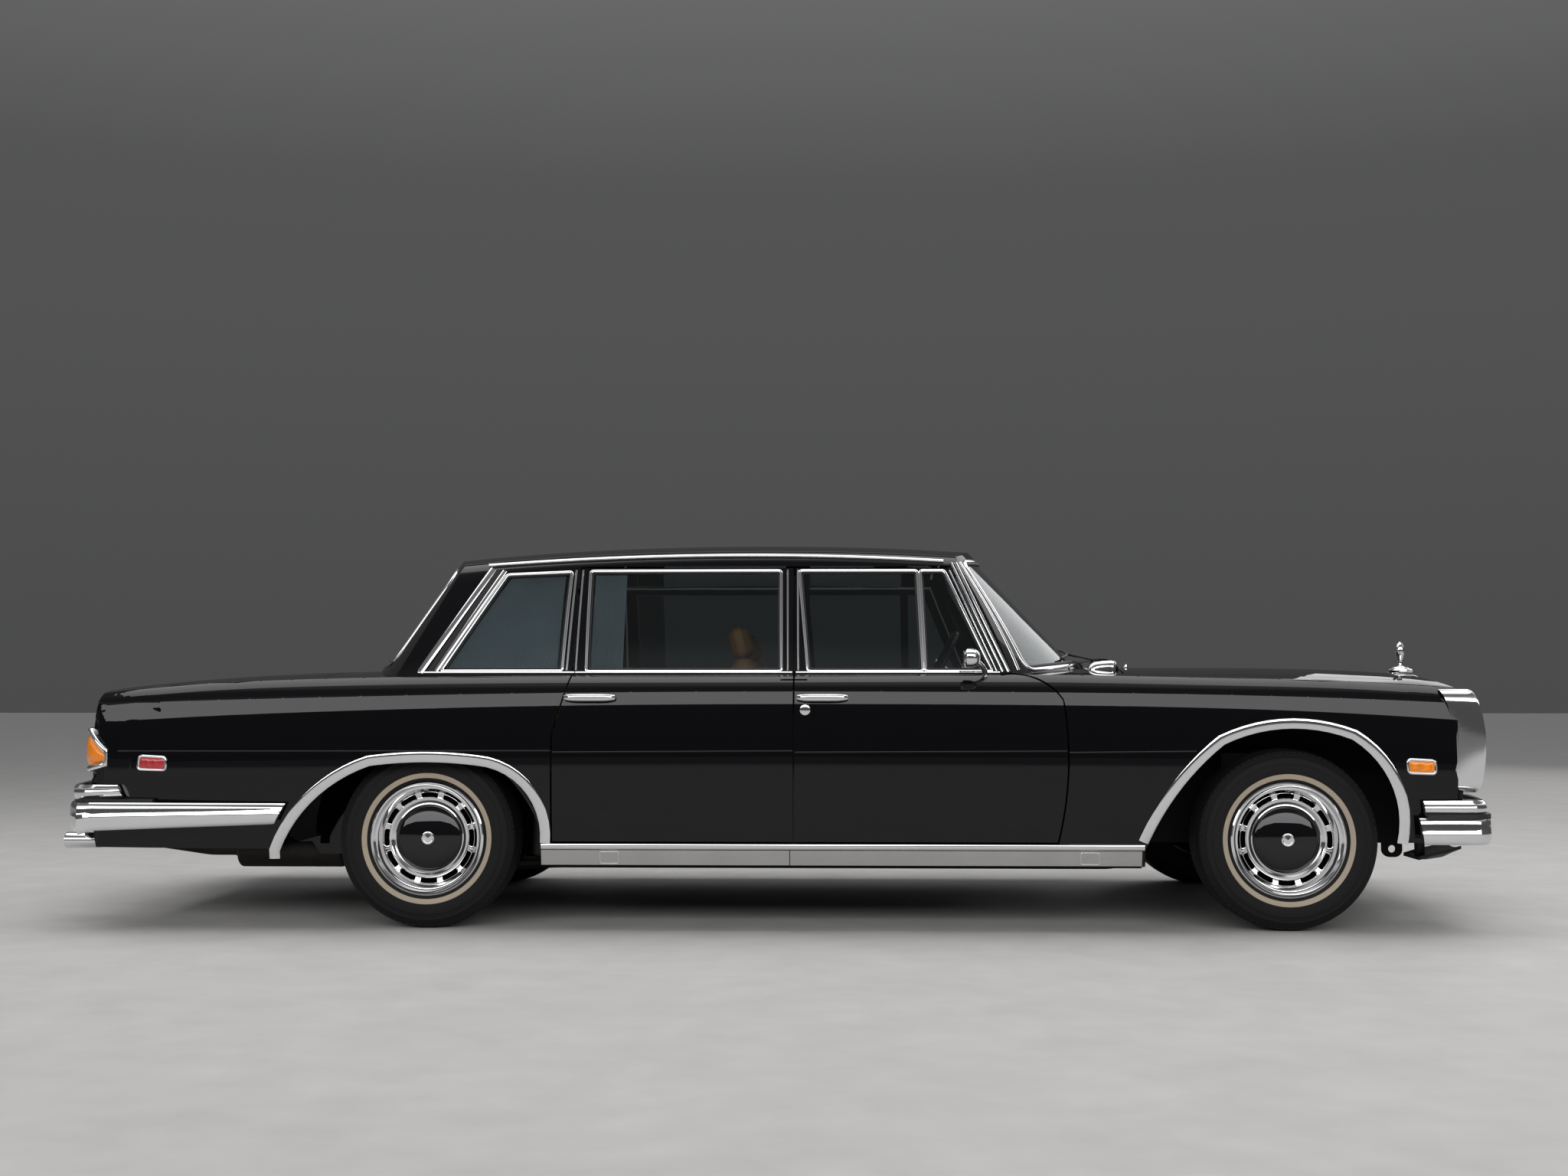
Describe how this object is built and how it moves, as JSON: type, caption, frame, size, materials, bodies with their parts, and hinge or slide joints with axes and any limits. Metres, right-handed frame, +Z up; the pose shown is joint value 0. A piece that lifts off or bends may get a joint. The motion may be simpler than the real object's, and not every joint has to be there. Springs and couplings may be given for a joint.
{
  "type": "luxury sedan",
  "caption": "Full-size vintage luxury sedan in black with chrome trim; doors, hood, boot lid, steering and wheels move.",
  "frame": {"origin": "on the ground, on the centreline, halfway between the bumpers' ends", "axes": "+X forwards, +Y to the car's left, +Z up"},
  "size_m": [5.54, 2.104, 1.487],
  "materials": {
    "body_paint": "gloss black paint",
    "chrome": "polished chrome",
    "window_glass": "lightly tinted glass",
    "clear_lens": "clear ribbed glass",
    "red_lens": "red lens",
    "amber_lens": "amber lens",
    "tyre": "black rubber",
    "wheel_finish": "chrome trim over black steel",
    "leather": "tan leather",
    "dash_trim": "black leather and wood",
    "black_rim": "black gloss plastic",
    "underbody": "black satin coating",
    "chassis_metal": "black painted iron",
    "engine_metal": "bare cast metal",
    "exhaust_steel": "heat-tinted steel",
    "wiper_black": "black"
  },
  "bodies": {
    "body": {"body_trim": "chrome", "cabin_frame": "body_paint", "cowl": "body_paint", "dashboard": "dash_trim", "engine": "engine_metal", "exhaust": "exhaust_steel", "fender_left": "body_paint", "fender_right": "body_paint", "fixed_glass": "window_glass", "floor_pan": "underbody", "front_bumper": "chrome", "front_panel": "body_paint", "front_seats": "leather", "front_suspension": "chassis_metal", "headlamp_bezels": "chrome", "headlamp_lenses": "clear_lens", "inner_fenders": "underbody", "propshaft": "chassis_metal", "quarter_left": "body_paint", "quarter_right": "body_paint", "rear_axle": "chassis_metal", "rear_bumper": "chrome", "rear_seat": "leather", "side_markers": "amber_lens", "tail_lamps": "red_lens", "tail_panel": "body_paint", "wipers": "wiper_black"},
    "hood": {"hood": "body_paint", "radiator_grille": "chrome"},
    "trunk_lid": {"trunk_lid": "body_paint"},
    "steering_wheel": {"steering_wheel": "black_rim"},
    "knuckle_left": {"knuckle_left": "chassis_metal"},
    "door_front_left": {"door_front_left": "body_paint", "glass_front_left": "window_glass", "handle_front_left": "chrome"},
    "wheel_front_left": {"tyre_front_left": "tyre", "wheel_front_left": "wheel_finish"},
    "door_rear_left": {"door_rear_left": "body_paint", "glass_rear_left": "window_glass", "handle_rear_left": "chrome"},
    "wheel_rear_left": {"tyre_rear_left": "tyre", "wheel_rear_left": "wheel_finish"},
    "knuckle_right": {"knuckle_right": "chassis_metal"},
    "door_front_right": {"door_front_right": "body_paint", "glass_front_right": "window_glass", "handle_front_right": "chrome"},
    "wheel_front_right": {"tyre_front_right": "tyre", "wheel_front_right": "wheel_finish"},
    "door_rear_right": {"door_rear_right": "body_paint", "glass_rear_right": "window_glass", "handle_rear_right": "chrome"},
    "wheel_rear_right": {"tyre_rear_right": "tyre", "wheel_rear_right": "wheel_finish"}
  },
  "joints": [
    {"name": "hood_hinge", "type": "hinge", "parent": "body", "child": "hood", "pos_m": [1.334, 0, 0.986], "axis": [0, -1, 0], "range_deg": [0, 50]},
    {"name": "trunk_hinge", "type": "hinge", "parent": "body", "child": "trunk_lid", "pos_m": [-1.727, 0, 0.97], "axis": [0, 1, 0], "range_deg": [0, 62]},
    {"name": "steering_wheel_turn", "type": "hinge", "parent": "body", "child": "steering_wheel", "pos_m": [0.693, 0.38, 0.958], "axis": [-0.891, 0, 0.454], "range_deg": [-579, 579]},
    {"name": "door_front_left_hinge", "type": "hinge", "parent": "body", "child": "door_front_left", "pos_m": [1.111, 0.981, 0.6], "axis": [0, 0, -1], "range_deg": [0, 65]},
    {"name": "door_rear_left_hinge", "type": "hinge", "parent": "body", "child": "door_rear_left", "pos_m": [0.103, 0.981, 0.6], "axis": [0, 0, -1], "range_deg": [0, 65]},
    {"name": "knuckle_left_turn", "type": "hinge", "parent": "body", "child": "knuckle_left", "pos_m": [1.92, 0.69, 0.335], "axis": [0, 0, 1], "range_deg": [-34, 34]},
    {"name": "wheel_front_left_spin", "type": "hinge", "parent": "knuckle_left", "child": "wheel_front_left", "pos_m": [1.92, 0.793, 0.335], "axis": [0, 1, 0], "continuous": true},
    {"name": "wheel_rear_left_spin", "type": "hinge", "parent": "body", "child": "wheel_rear_left", "pos_m": [-1.28, 0.793, 0.335], "axis": [0, 1, 0], "continuous": true},
    {"name": "door_front_right_hinge", "type": "hinge", "parent": "body", "child": "door_front_right", "pos_m": [1.111, -0.981, 0.6], "axis": [0, 0, 1], "range_deg": [0, 65]},
    {"name": "door_rear_right_hinge", "type": "hinge", "parent": "body", "child": "door_rear_right", "pos_m": [0.103, -0.981, 0.6], "axis": [0, 0, 1], "range_deg": [0, 65]},
    {"name": "knuckle_right_turn", "type": "hinge", "parent": "body", "child": "knuckle_right", "pos_m": [1.92, -0.69, 0.335], "axis": [0, 0, 1], "range_deg": [-34, 34]},
    {"name": "wheel_front_right_spin", "type": "hinge", "parent": "knuckle_right", "child": "wheel_front_right", "pos_m": [1.92, -0.793, 0.335], "axis": [0, 1, 0], "continuous": true},
    {"name": "wheel_rear_right_spin", "type": "hinge", "parent": "body", "child": "wheel_rear_right", "pos_m": [-1.28, -0.793, 0.335], "axis": [0, 1, 0], "continuous": true}
  ],
  "couplings": [
    {"joint": "knuckle_left_turn", "follows": "knuckle_right_turn", "ratio": 1},
    {"joint": "steering_wheel_turn", "follows": "knuckle_right_turn", "ratio": 17}
  ]
}
